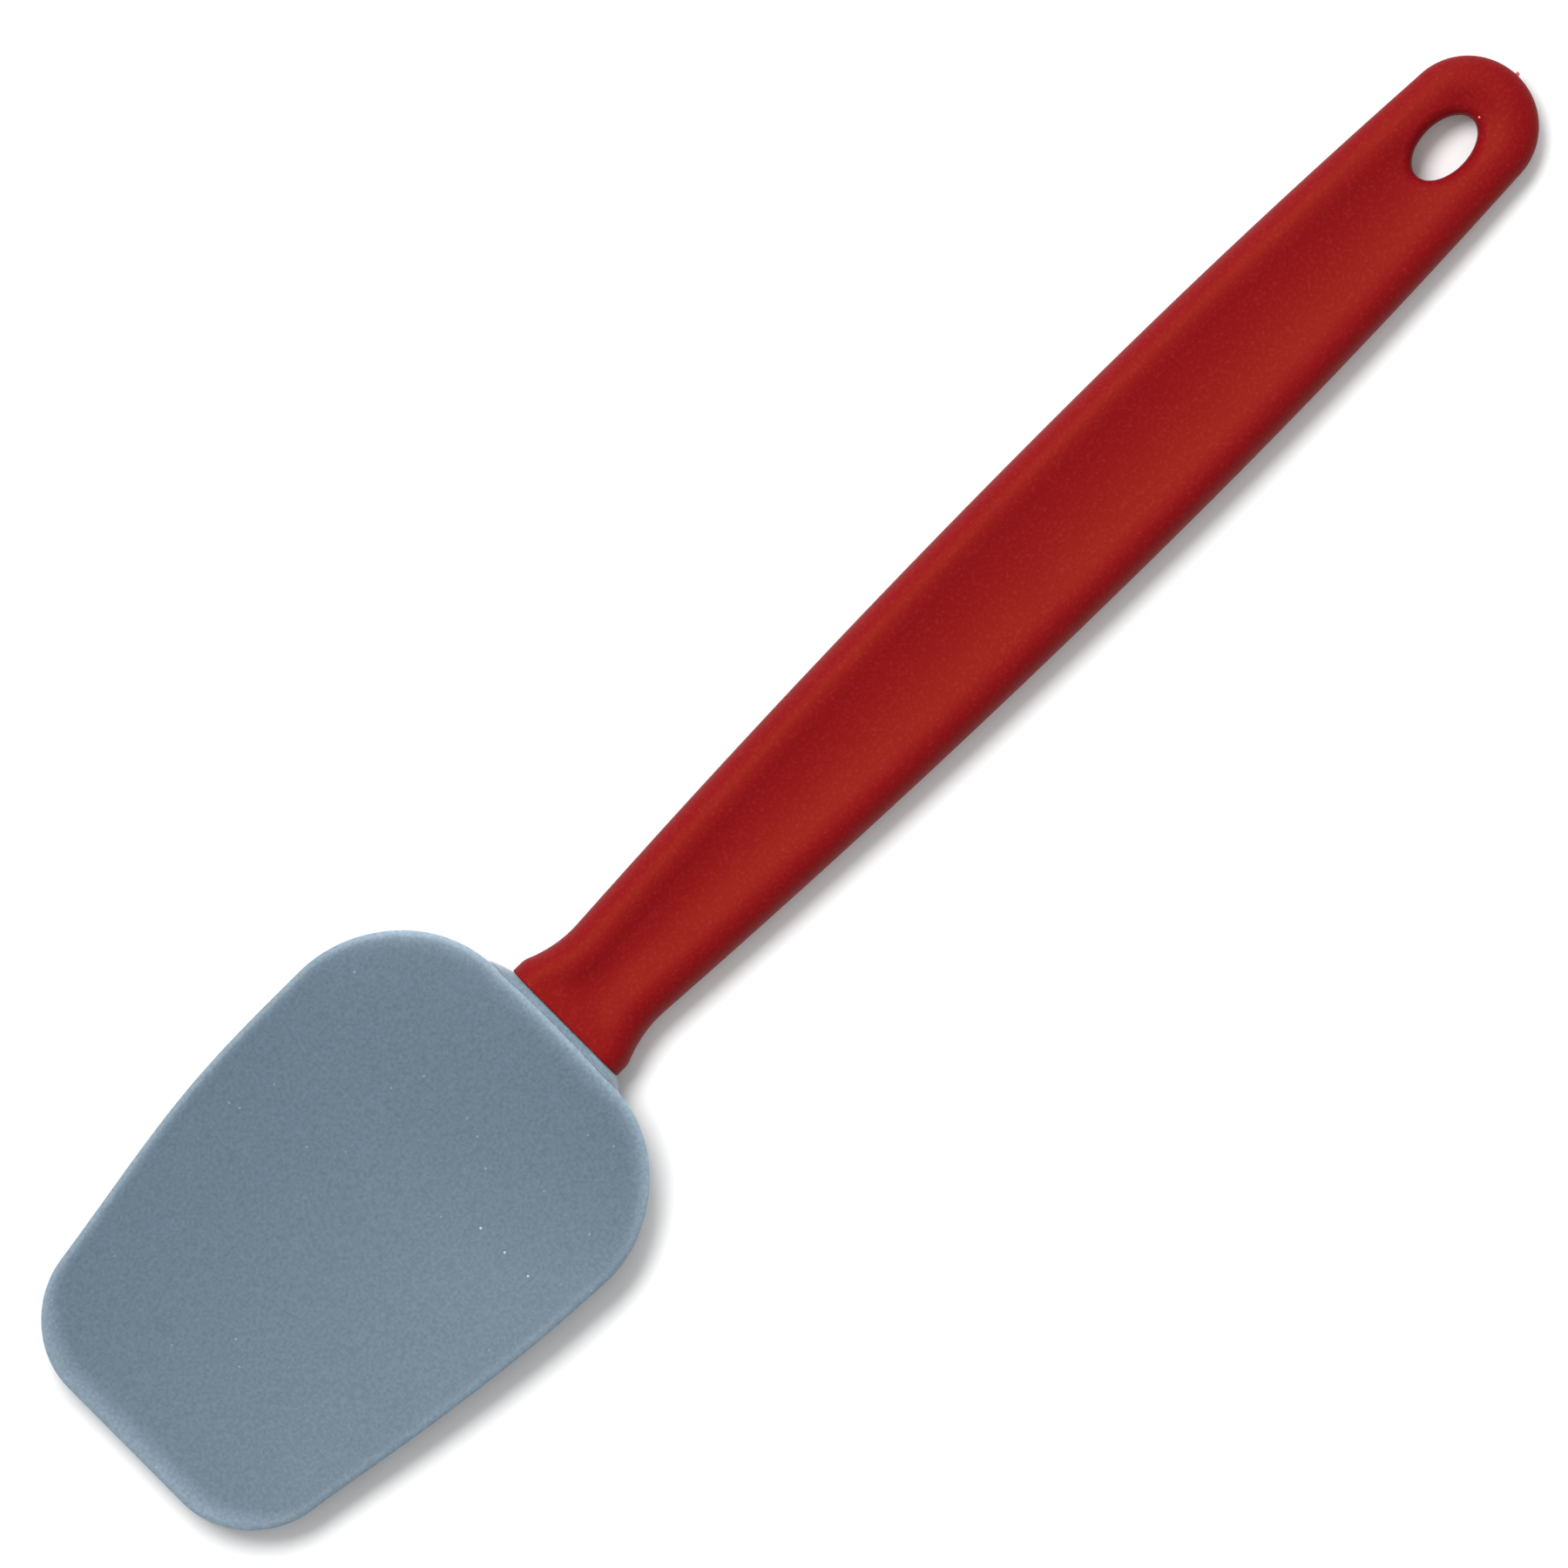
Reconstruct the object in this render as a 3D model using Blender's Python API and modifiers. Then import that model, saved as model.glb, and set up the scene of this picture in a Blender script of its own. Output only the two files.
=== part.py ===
# A spoon whose dished silicone head pushes onto a stiff core, which a moulded handle grips.
# Units are metres. The spoon lies on its back: +X runs from the head's tip to the handle's end, +Z is
# up out of the dish, and the origin is on the table under the middle of the spoon.
import math

import bmesh
import bpy

# Clearance between pieces that touch on the real spoon.
FIT_GAP = 0.0003

# Plan of the dish. Its corners are rounded and its long sides bow outwards.
DISH_LENGTH = 0.0829
TIP_WIDTH = 0.0458
REAR_WIDTH = 0.0621
TIP_CORNER_RADIUS = 0.0144
REAR_CORNER_RADIUS = 0.0174
SIDE_BOW = 0.0021

# Front of the dish. Along its middle the floor rises from its lowest point to the tip and the rear.
# From there it curves up to a level rim at the sides.
FLOOR_HEIGHT = 0.0042
LOWEST_AT = 0.0520
TIP_RISE = 0.0006
RIM_LEVEL = 0.0072
REAR_RISE = 0.0047
REAR_RISE_POWER = 1.6

# Walls of the dish. They thin towards the rim, and most along the tip, which is a scraping edge.
RIM_THICKNESS = 0.0020
TIP_THICKNESS = 0.0010
WALL_THICKNESS = 0.0024
THINNING_WIDTH = 0.0034
RIM_ROUND = 0.0008

# The spine, a thick ridge of silicone under the dish that holds the core. Its mouth stands a little
# behind the dish and meets the handle's collar.
MOUTH_LENGTH = 0.0013
SHOULDER_RISE = 0.0003
SPINE_FLARE = 0.0036
SPINE_LEVEL_AT = 0.0720
SPINE_FRONT_AT = 0.0340
SPINE_FRONT_WIDTH = 0.0200
SPINE_NOSE_AT = 0.0140
SPINE_NOSE_WIDTH = 0.0090
SPINE_NOSE_DEPTH = 0.0018
SPINE_COVER = 0.0006
SHOULDER_RUN = 0.0016

# Plan of the handle, measured from its collar's face.
HANDLE_LENGTH = 0.1855
COLLAR_WIDTH = 0.0197
COLLAR_LENGTH = 0.0022
COLLAR_STEP = 0.0002
NECK_WIDTH = 0.0169
NECK_AT = 0.0108
GRIP_WIDTH = 0.0234
GRIP_AT = 0.1108
END_RADIUS = 0.0098

# Side view of the handle, as heights above the table.
COLLAR_TOP = 0.0078
COLLAR_BASE = 0.0004
NECK_TOP = 0.0080
GRIP_TOP = 0.0084
END_TOP = 0.0060
END_BASE = 0.0008
BACK_FLAT_FROM = 0.0250
BACK_FLAT_TO = 0.1450

# The handle's section: a rounded rim, a lengthwise trough in front and a flat land behind.
RIM_INSET = 0.0038
TROUGH_DEPTH = 0.0011
TROUGH_FLOOR_SHARE = 0.8
TROUGH_START = 0.0012
TROUGH_FULL = 0.0090
BACK_LAND_WIDTH = 0.0110

# Hanging hole, an ellipse.
HOLE_LENGTH = 0.0111
HOLE_WIDTH = 0.0070
HOLE_FROM_END = 0.0139

# Core: a tang in the handle and a tapered tongue in the head.
CORE_THICKNESS = 0.0018
CORE_HEIGHT = 0.0022
TONGUE_LENGTH = 0.0560
TONGUE_ROOT_WIDTH = 0.0124
TONGUE_TIP_WIDTH = 0.0100
TONGUE_TIP_RADIUS = 0.0040
TANG_LENGTH = 0.0620
TANG_WIDTH = 0.0108
TANG_END_RADIUS = 0.0030
CORE_EDGE_ROUND = 0.0003

# Panels sunk into both faces of the tongue, which leave a border, a middle rib and cross ribs.
PANEL_DEPTH = 0.0004
PANEL_BORDER = 0.0014
PANEL_RIB = 0.0012
PANEL_ROWS = 4

# Round windows in the tang that the handle's plastic fills, evenly spaced along it.
WINDOW_RADIUS = 0.0020
WINDOW_COUNT = 3

# Finishes, with colours as linear red, green and blue.
SILICONE_COLOUR = (0.170, 0.235, 0.290)
SILICONE_ROUGHNESS = 0.60
HANDLE_COLOUR = (0.300, 0.013, 0.012)
HANDLE_ROUGHNESS = 0.45
CORE_COLOUR = (0.030, 0.031, 0.033)
CORE_ROUGHNESS = 0.55

# Fineness of the dish: along its outline, then in rings from its middle out to its rim.
CORNER_STEPS = 9
SIDE_STEPS = 10
REAR_STEPS = 4
TIP_STEPS = 3
FLOOR_RINGS = 6
BAND_RINGS = 5
RIM_RINGS = 3

# Fineness of the sections across the spoon and of how many there are along each stretch.
CREST_STEPS = 6
ROUND_STEPS = 5
SHOULDER_SECTIONS = 5
SPINE_SECTIONS = 6
NOSE_SECTIONS = 5
NECK_SECTIONS = 7
GRIP_SECTIONS = 11
GRIP_CROWDING = 1.5
TAIL_SECTIONS = 10
END_SECTIONS = 9

# Fineness of round cuts and edges, and the smallest sizes that making the meshes needs.
HOLE_SIDES = 40
WINDOW_SIDES = 20
EDGE_SEGMENTS = 2
SMOOTH_ANGLE = 35
OVERSHOOT = 0.0020
WELD_DISTANCE = 0.000001

MOUTH_AT = DISH_LENGTH + MOUTH_LENGTH
COLLAR_AT = MOUTH_AT + FIT_GAP
SPOON_LENGTH = COLLAR_AT + HANDLE_LENGTH
TIP_X = -SPOON_LENGTH / 2
COLLAR_X = TIP_X + COLLAR_AT
END_CENTRE = HANDLE_LENGTH - END_RADIUS
COLLAR_PARTING = (COLLAR_TOP + COLLAR_BASE) / 2


def ease(low, high, value):
    # 0 up to low, 1 from high, and a smooth rise between them.
    t = min(max((value - low) / (high - low), 0.0), 1.0)
    return t * t * (3.0 - 2.0 * t)


def mix(first, second, share):
    return first + (second - first) * share


def quarter_round(share):
    # Height of a quarter circle of radius 1 at this share of the way in from its foot.
    return math.sqrt(max(1.0 - (1.0 - min(max(share, 0.0), 1.0)) ** 2, 0.0))


def steps(start, end, count):
    # Evenly spaced values from start up to, and without, end.
    return [mix(start, end, i / count) for i in range(count)]


def full_ring(half):
    # A closed ring from its half at +Y, whose two ends lie on the middle plane.
    return half + [(x, -y, z) for x, y, z in reversed(half[1:-1])]


# Plan of the dish, with x measured from its tip


def rounded_corner(before, corner, after, radius):
    # Points of the arc that rounds the corner between two straight edges.
    def unit(target):
        dx, dy = target[0] - corner[0], target[1] - corner[1]
        length = math.hypot(dx, dy)
        return dx / length, dy / length

    a, b = unit(before), unit(after)
    half = math.acos(a[0] * b[0] + a[1] * b[1]) / 2
    middle = (a[0] + b[0], a[1] + b[1])
    reach = radius / math.sin(half) / math.hypot(*middle)
    centre = (corner[0] + middle[0] * reach, corner[1] + middle[1] * reach)
    run = radius / math.tan(half)
    start = math.atan2(corner[1] + a[1] * run - centre[1], corner[0] + a[0] * run - centre[0])
    turn = 2 * half - math.pi
    return [
        (centre[0] + radius * math.cos(start + turn * t), centre[1] + radius * math.sin(start + turn * t))
        for t in steps(0.0, 1.0, CORNER_STEPS) + [1.0]
    ]


def straight(start, end, count):
    # Points between two ends, without the ends.
    return [(mix(start[0], end[0], i / count), mix(start[1], end[1], i / count)) for i in range(1, count)]


def dish_half_outline():
    # Half of the dish's outline, from the middle of the tip to the middle of the rear edge.
    tip, rear = (0.0, 0.0), (DISH_LENGTH, 0.0)
    tip_corner, rear_corner = (0.0, TIP_WIDTH / 2), (DISH_LENGTH, REAR_WIDTH / 2)
    first = rounded_corner(tip, tip_corner, rear_corner, TIP_CORNER_RADIUS)
    second = rounded_corner(tip_corner, rear_corner, rear, REAR_CORNER_RADIUS)
    points = [tip] + straight(tip, first[0], TIP_STEPS) + first
    points += straight(first[-1], second[0], SIDE_STEPS) + second
    points += straight(second[-1], rear, REAR_STEPS) + [rear]
    bowed = []
    for x, y in points:
        bow = SIDE_BOW * math.sin(math.pi * x / DISH_LENGTH) ** 2
        bowed.append((x, y * (1 + bow / (REAR_WIDTH / 2))))
    return bowed


def inward(outline, index):
    # Direction square to the half outline at one of its points, pointing into the dish.
    if index in (0, len(outline) - 1):
        return (1.0, 0.0) if index == 0 else (-1.0, 0.0)
    (x0, y0), (x1, y1) = outline[index - 1], outline[index + 1]
    length = math.hypot(x1 - x0, y1 - y0)
    return (y1 - y0) / length, (x0 - x1) / length


# Surfaces of the dish


def floor_height(x, y):
    towards_tip = max(LOWEST_AT - x, 0.0) / LOWEST_AT
    towards_rear = max(x - LOWEST_AT, 0.0) / (DISH_LENGTH - LOWEST_AT)
    middle = FLOOR_HEIGHT + TIP_RISE * towards_tip**2 + REAR_RISE * towards_rear**REAR_RISE_POWER
    return mix(middle, RIM_LEVEL, (y / (REAR_WIDTH / 2)) ** 2)


def back_height(x, y, crest_x, distance):
    # Underside of the wall, at a distance in from the rim's crest.
    edge = mix(TIP_THICKNESS, RIM_THICKNESS, ease(0.0, TIP_CORNER_RADIUS, crest_x))
    return floor_height(x, y) - mix(edge, WALL_THICKNESS, ease(0.0, THINNING_WIDTH, distance))


# Sections across the spoon, for the handle and the spine


def section_ring(x, width, front, back):
    # From the middle of the front round by the back and home, with width as half the section's width.
    crest = max(width - RIM_INSET, width / 2)
    land = min(BACK_LAND_WIDTH / 2, width / 2)
    half = [(x, y, front(x, y)) for y in steps(0.0, crest, CREST_STEPS)]
    for angle in steps(0.0, math.pi / 2, ROUND_STEPS):
        y = mix(crest, width, math.sin(angle))
        half.append((x, y, front(x, y)))
    for angle in steps(0.0, math.pi / 2, ROUND_STEPS):
        y = mix(land, width, math.cos(angle))
        half.append((x, y, back(x, y)))
    return full_ring(half + [(x, land, back(x, land)), (x, 0.0, back(x, 0.0))])


# Handle, with x measured from its collar's face


def base_width(x):
    # Half width of the handle along its smooth run, without the collar's flare.
    if x < GRIP_AT:
        return mix(GRIP_WIDTH, NECK_WIDTH, ((GRIP_AT - x) / (GRIP_AT - NECK_AT)) ** 2) / 2
    return mix(GRIP_WIDTH, 2 * END_RADIUS, ((x - GRIP_AT) / (END_CENTRE - GRIP_AT)) ** 2) / 2


def handle_half_width(x):
    if x <= COLLAR_LENGTH:
        return COLLAR_WIDTH / 2
    if x > END_CENTRE:
        return math.sqrt(max(END_RADIUS**2 - (x - END_CENTRE) ** 2, 0.0))
    flare = COLLAR_WIDTH / 2 - COLLAR_STEP - base_width(COLLAR_LENGTH)
    return base_width(x) + flare * max(1.0 - (x - COLLAR_LENGTH) / (NECK_AT - COLLAR_LENGTH), 0.0) ** 2


def handle_inset(x, y):
    # Distance of a point in from the handle's edge, seen from above.
    if x > END_CENTRE:
        return max(END_RADIUS - math.hypot(x - END_CENTRE, y), 0.0)
    return handle_half_width(x) - abs(y)


def smooth_top(x):
    # Top of the handle along its smooth run, without the collar's dip.
    if x < GRIP_AT:
        return mix(GRIP_TOP, NECK_TOP, ((GRIP_AT - x) / (GRIP_AT - NECK_AT)) ** 2)
    return mix(GRIP_TOP, END_TOP, ((x - GRIP_AT) / (HANDLE_LENGTH - GRIP_AT)) ** 2)


def handle_top(x):
    return smooth_top(x) + (COLLAR_TOP - smooth_top(0.0)) * (1.0 - ease(0.0, NECK_AT, x))


def handle_base(x):
    front = COLLAR_BASE * max(1.0 - x / BACK_FLAT_FROM, 0.0) ** 2
    return front + END_BASE * (max(x - BACK_FLAT_TO, 0.0) / (HANDLE_LENGTH - BACK_FLAT_TO)) ** 2


def handle_parting(x):
    return (handle_top(x) + handle_base(x)) / 2


def handle_front(x, y):
    edge = handle_inset(x, y)
    z = mix(handle_parting(x), handle_top(x), quarter_round(edge / RIM_INSET))
    reach = handle_half_width(min(x, END_CENTRE)) - RIM_INSET
    across = 1.0 - (edge - RIM_INSET) / reach
    if across >= 1.0:
        return z
    depth = TROUGH_DEPTH * reach / (GRIP_WIDTH / 2 - RIM_INSET) * ease(TROUGH_START, TROUGH_FULL, x)
    if across < TROUGH_FLOOR_SHARE:
        return z - depth * (1.0 - across**2 / TROUGH_FLOOR_SHARE)
    return z - depth * (1.0 - across) ** 2 / (1.0 - TROUGH_FLOOR_SHARE)


def handle_back(x, y):
    reach = handle_half_width(min(x, END_CENTRE)) - BACK_LAND_WIDTH / 2
    return mix(handle_parting(x), handle_base(x), quarter_round(handle_inset(x, y) / reach))


# Spine of the head, with x measured from the dish's tip. Its mouth has the collar's section.


def spine_half_width(x):
    collar = COLLAR_WIDTH / 2
    if x > DISH_LENGTH:
        return collar + SPINE_FLARE * (MOUTH_AT - x) / MOUTH_LENGTH
    if x > SPINE_FRONT_AT:
        share = (x - SPINE_FRONT_AT) / (DISH_LENGTH - SPINE_FRONT_AT)
        return mix(SPINE_FRONT_WIDTH / 2, collar + SPINE_FLARE, share)
    share = (x - SPINE_NOSE_AT) / (SPINE_FRONT_AT - SPINE_NOSE_AT)
    return mix(SPINE_NOSE_WIDTH, SPINE_FRONT_WIDTH, quarter_round(share)) / 2


def spine_parting(x):
    shell = floor_height(x, 0.0) - WALL_THICKNESS / 2
    return mix(shell, COLLAR_PARTING, ease(SPINE_NOSE_AT, SPINE_FRONT_AT, x))


def spine_top(x):
    # The top stays buried under the dish's floor, except for the shoulder behind the rim.
    shoulder = COLLAR_TOP + SHOULDER_RISE * min((MOUTH_AT - x) / MOUTH_LENGTH, 1.0)
    if x > DISH_LENGTH - RIM_ROUND:
        return shoulder
    return min(shoulder, floor_height(x, 0.0) - SPINE_COVER)


def spine_base(x):
    if x > SPINE_LEVEL_AT:
        return COLLAR_BASE * ((x - SPINE_LEVEL_AT) / (MOUTH_AT - SPINE_LEVEL_AT)) ** 2
    nose = floor_height(SPINE_NOSE_AT, 0.0) - SPINE_NOSE_DEPTH
    return nose * (max(SPINE_FRONT_AT - x, 0.0) / (SPINE_FRONT_AT - SPINE_NOSE_AT)) ** 2


def spine_front(x, y):
    edge = spine_half_width(x) - abs(y)
    return mix(spine_parting(x), spine_top(x), quarter_round(edge / RIM_INSET))


def spine_back(x, y):
    width = spine_half_width(x)
    land = min(BACK_LAND_WIDTH / 2, width / 2)
    return mix(spine_parting(x), spine_base(x), quarter_round((width - abs(y)) / (width - land)))


# Making meshes and objects


def loft(rings):
    # One closed skin through rings of equally many points, closed flat at both ends.
    mesh = bmesh.new()
    loops = [[mesh.verts.new(point) for point in ring] for ring in rings]
    for first, second in zip(loops, loops[1:]):
        for i, vertex in enumerate(first):
            following = (i + 1) % len(first)
            mesh.faces.new((vertex, first[following], second[following], second[i]))
    mesh.faces.new(loops[0])
    mesh.faces.new(loops[-1])
    bmesh.ops.remove_doubles(mesh, verts=mesh.verts, dist=WELD_DISTANCE)
    bmesh.ops.recalc_face_normals(mesh, faces=mesh.faces)
    return mesh


def add_object(name, mesh, collection, location):
    data = bpy.data.meshes.new(name)
    mesh.to_mesh(data)
    mesh.free()
    thing = bpy.data.objects.new(name, data)
    thing.location = location
    collection.objects.link(thing)
    return thing


def add_cutter(name, mesh, collection, location):
    cutter = add_object(name, mesh, collection, location)
    cutter.hide_render = True
    cutter.display_type = "WIRE"
    return cutter


def combine(target, tool, operation):
    boolean = target.modifiers.new(tool.name, "BOOLEAN")
    boolean.operation = operation
    boolean.solver = "EXACT"
    boolean.object = tool


def finish(thing, name, colour, roughness):
    material = bpy.data.materials.new(name)
    material.use_nodes = True
    shader = material.node_tree.nodes["Principled BSDF"]
    shader.inputs["Base Color"].default_value = (*colour, 1.0)
    shader.inputs["Roughness"].default_value = roughness
    shader.inputs["Metallic"].default_value = 0.0
    thing.data.materials.append(material)
    thing.data.shade_smooth()
    thing.data.set_sharp_from_angle(angle=math.radians(SMOOTH_ANGLE))


# Shapes of the pieces and of what cuts them


def dish_mesh():
    # Rings that follow the rim near it and close onto the dish's middle line, over the front, round
    # the rim and back over the back.
    outline = dish_half_outline()
    normals = [inward(outline, index) for index in range(len(outline))]
    first_middle, last_middle = REAR_WIDTH / 2, DISH_LENGTH - REAR_WIDTH / 2

    def moved(index, distance):
        (x, y), (dx, dy) = outline[index], normals[index]
        return x + dx * distance, y + dy * distance

    def ring(is_front, distance, share):
        # A share of 0 stays at that distance in from the crest, and 1 reaches the middle line.
        half = []
        for index, (x, _) in enumerate(outline):
            px, py = moved(index, RIM_ROUND + distance)
            middle = min(max(x, first_middle), last_middle)
            run = math.hypot(middle - px, py) * share
            px, py = mix(px, middle, share), mix(py, 0.0, share)
            back = back_height(px, py, moved(index, RIM_ROUND)[0], distance + run)
            half.append((px, py, floor_height(px, py) if is_front else back))
        return full_ring(half)

    def rim_ring(angle):
        # The rim's outer round, from its crest down to the outline.
        half = []
        for index in range(len(outline)):
            crest, (x, y) = moved(index, RIM_ROUND), moved(index, RIM_ROUND * (1 - math.sin(angle)))
            half.append((x, y, floor_height(*crest) - RIM_ROUND * (1 - math.cos(angle))))
        return full_ring(half)

    places = [(THINNING_WIDTH, share) for share in steps(1.0, 0.0, FLOOR_RINGS)]
    places += [(distance, 0.0) for distance in steps(THINNING_WIDTH, 0.0, BAND_RINGS)]
    rings = [ring(True, *place) for place in places + [(0.0, 0.0)]]
    rings += [rim_ring(angle) for angle in reversed(steps(math.pi / 2, 0.0, RIM_RINGS))]
    rings += [ring(False, -RIM_ROUND / 2, 0.0)]
    rings += [ring(False, *place) for place in reversed(places)]
    return loft(rings)


def spine_mesh():
    crest = DISH_LENGTH - RIM_ROUND
    places = [MOUTH_AT, DISH_LENGTH] + steps(crest, crest - SHOULDER_RUN, SHOULDER_SECTIONS)
    places += steps(crest - SHOULDER_RUN, SPINE_FRONT_AT, SPINE_SECTIONS)
    places += steps(SPINE_FRONT_AT, SPINE_NOSE_AT, NOSE_SECTIONS) + [SPINE_NOSE_AT]
    return loft([section_ring(x, spine_half_width(x), spine_front, spine_back) for x in places])


def handle_mesh():
    places = [0.0, COLLAR_LENGTH] + steps(COLLAR_LENGTH + COLLAR_STEP, NECK_AT, NECK_SECTIONS)
    places += [mix(NECK_AT, GRIP_AT, share**GRIP_CROWDING) for share in steps(0.0, 1.0, GRIP_SECTIONS)]
    places += steps(GRIP_AT, END_CENTRE, TAIL_SECTIONS)
    places += [END_CENTRE + END_RADIUS * math.sin(turn) for turn in steps(0.0, math.pi / 2, END_SECTIONS)]
    places.append(HANDLE_LENGTH)
    return loft([section_ring(x, handle_half_width(x), handle_front, handle_back) for x in places])


def core_outline(gap):
    # The core from above, grown by a gap all round, with x measured from the collar's face.
    tip = -FIT_GAP - TONGUE_LENGTH - gap
    root = -FIT_GAP + gap
    end = TANG_LENGTH + gap
    tongue_tip, tongue_root = TONGUE_TIP_WIDTH / 2 + gap, TONGUE_ROOT_WIDTH / 2 + gap
    tang = TANG_WIDTH / 2 + gap
    half = rounded_corner((tip, 0.0), (tip, tongue_tip), (root, tongue_root), TONGUE_TIP_RADIUS + gap)
    half += [(root, tongue_root), (root, tang)]
    half += rounded_corner((root, tang), (end, tang), (end, 0.0), TANG_END_RADIUS + gap)
    return half + [(x, -y) for x, y in reversed(half)]


def blade_mesh(gap, collection):
    # The core's outline given its thickness, grown by a gap all round.
    curve = bpy.data.curves.new("core_plan", "CURVE")
    curve.dimensions = "2D"
    curve.fill_mode = "BOTH"
    curve.extrude = CORE_THICKNESS / 2 + gap
    outline = core_outline(gap)
    spline = curve.splines.new("POLY")
    spline.points.add(len(outline) - 1)
    for point, (x, y) in zip(spline.points, outline):
        point.co = (x, y, 0.0, 1.0)
    spline.use_cyclic_u = True
    drawn = bpy.data.objects.new("core_plan", curve)
    collection.objects.link(drawn)
    flat = bpy.data.meshes.new_from_object(drawn.evaluated_get(bpy.context.evaluated_depsgraph_get()))
    bpy.data.objects.remove(drawn)
    mesh = bmesh.new()
    mesh.from_mesh(flat)
    bpy.data.meshes.remove(flat)
    bmesh.ops.remove_doubles(mesh, verts=mesh.verts, dist=WELD_DISTANCE)
    return mesh


def add_box(mesh, low, high):
    cube = bmesh.ops.create_cube(mesh, size=1.0)["verts"]
    for vertex in cube:
        vertex.co = [mix(a, b, c + 0.5) for a, b, c in zip(low, high, vertex.co)]


def panel_mesh():
    # The sunk panels, in two lanes on each face of the tongue.
    mesh = bmesh.new()
    start = -FIT_GAP - TONGUE_LENGTH + TONGUE_TIP_RADIUS
    end = -FIT_GAP - PANEL_BORDER
    pitch = (end - start + PANEL_RIB) / PANEL_ROWS
    outer = TONGUE_TIP_WIDTH / 2 - PANEL_BORDER
    for low_x in steps(start, start + pitch * PANEL_ROWS, PANEL_ROWS):
        for side in (-1, 1):
            near, far = sorted((side * PANEL_RIB / 2, side * outer))
            for face in (-1, 1):
                below, above = sorted((face * (CORE_THICKNESS / 2 - PANEL_DEPTH), face * CORE_THICKNESS))
                add_box(mesh, (low_x, near, below), (low_x + pitch - PANEL_RIB, far, above))
    return mesh


def window_mesh(radius):
    # Posts of this radius at the tang's windows.
    mesh = bmesh.new()
    size = {"radius1": radius, "radius2": radius, "depth": 2 * CORE_THICKNESS}
    for x in steps(0.0, TANG_LENGTH, WINDOW_COUNT + 1)[1:]:
        post = bmesh.ops.create_cone(mesh, cap_ends=True, segments=WINDOW_SIDES, **size)
        bmesh.ops.translate(mesh, verts=post["verts"], vec=(x, 0.0, 0.0))
    return mesh


def hole_mesh():
    mesh = bmesh.new()
    height = GRIP_TOP + 2 * OVERSHOOT
    bmesh.ops.create_cone(mesh, cap_ends=True, segments=HOLE_SIDES, radius1=0.5, radius2=0.5, depth=height)
    bmesh.ops.scale(mesh, verts=mesh.verts, vec=(HOLE_LENGTH, HOLE_WIDTH, 1.0))
    bmesh.ops.translate(mesh, verts=mesh.verts, vec=(HANDLE_LENGTH - HOLE_FROM_END, 0.0, GRIP_TOP / 2))
    return mesh


# The pieces


def build_core(parts, cutters):
    place = (COLLAR_X, 0.0, CORE_HEIGHT)
    core = add_object("core_blade", blade_mesh(0.0, cutters), parts, place)
    edges = core.modifiers.new("edges", "BEVEL")
    edges.width = CORE_EDGE_ROUND
    edges.segments = EDGE_SEGMENTS
    edges.limit_method = "ANGLE"
    combine(core, add_cutter("panel_cutter", panel_mesh(), cutters, place), "DIFFERENCE")
    combine(core, add_cutter("window_cutter", window_mesh(WINDOW_RADIUS), cutters, place), "DIFFERENCE")
    finish(core, "glass_filled_nylon", CORE_COLOUR, CORE_ROUGHNESS)


def build_handle(parts, cutters):
    collar, core_place = (COLLAR_X, 0.0, 0.0), (COLLAR_X, 0.0, CORE_HEIGHT)
    handle = add_object("handle_grip", handle_mesh(), parts, collar)
    slot = add_cutter("tang_slot", blade_mesh(FIT_GAP, cutters), cutters, core_place)
    posts = add_cutter("window_posts", window_mesh(WINDOW_RADIUS - FIT_GAP), cutters, core_place)
    combine(slot, posts, "DIFFERENCE")
    combine(handle, slot, "DIFFERENCE")
    combine(handle, add_cutter("hole_cutter", hole_mesh(), cutters, collar), "DIFFERENCE")
    finish(handle, "red_plastic", HANDLE_COLOUR, HANDLE_ROUGHNESS)


def build_head(parts, cutters):
    # The head slides off along the core, so its parent stands on that axis at the seam.
    axis = bpy.data.objects.new("head_slide", None)
    axis.location = (COLLAR_X, 0.0, CORE_HEIGHT)
    parts.objects.link(axis)
    head = add_object("silicone_head", dish_mesh(), parts, (TIP_X - COLLAR_X, 0.0, -CORE_HEIGHT))
    head.parent = axis
    combine(head, add_cutter("spine_body", spine_mesh(), cutters, (TIP_X, 0.0, 0.0)), "UNION")
    slot = add_cutter("tongue_slot", blade_mesh(FIT_GAP, cutters), cutters, (COLLAR_X, 0.0, CORE_HEIGHT))
    combine(head, slot, "DIFFERENCE")
    finish(head, "blue_grey_silicone", SILICONE_COLOUR, SILICONE_ROUGHNESS)


def main():
    for thing in list(bpy.data.objects):
        bpy.data.objects.remove(thing)
    parts = bpy.data.collections.new("silicone_spoon")
    cutters = bpy.data.collections.new("cutters")
    for collection in (parts, cutters):
        bpy.context.scene.collection.children.link(collection)
    build_core(parts, cutters)
    build_handle(parts, cutters)
    build_head(parts, cutters)


main()
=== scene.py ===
# A kitchen spoon on its back on a white table: a wide, shallow silicone head pushed onto a stiff core,
# and a red plastic handle with a long trough and a hanging hole. Metres, +X from tip to handle end.
import math

import bmesh
import bpy
from mathutils import Matrix, Vector, kdtree


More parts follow.
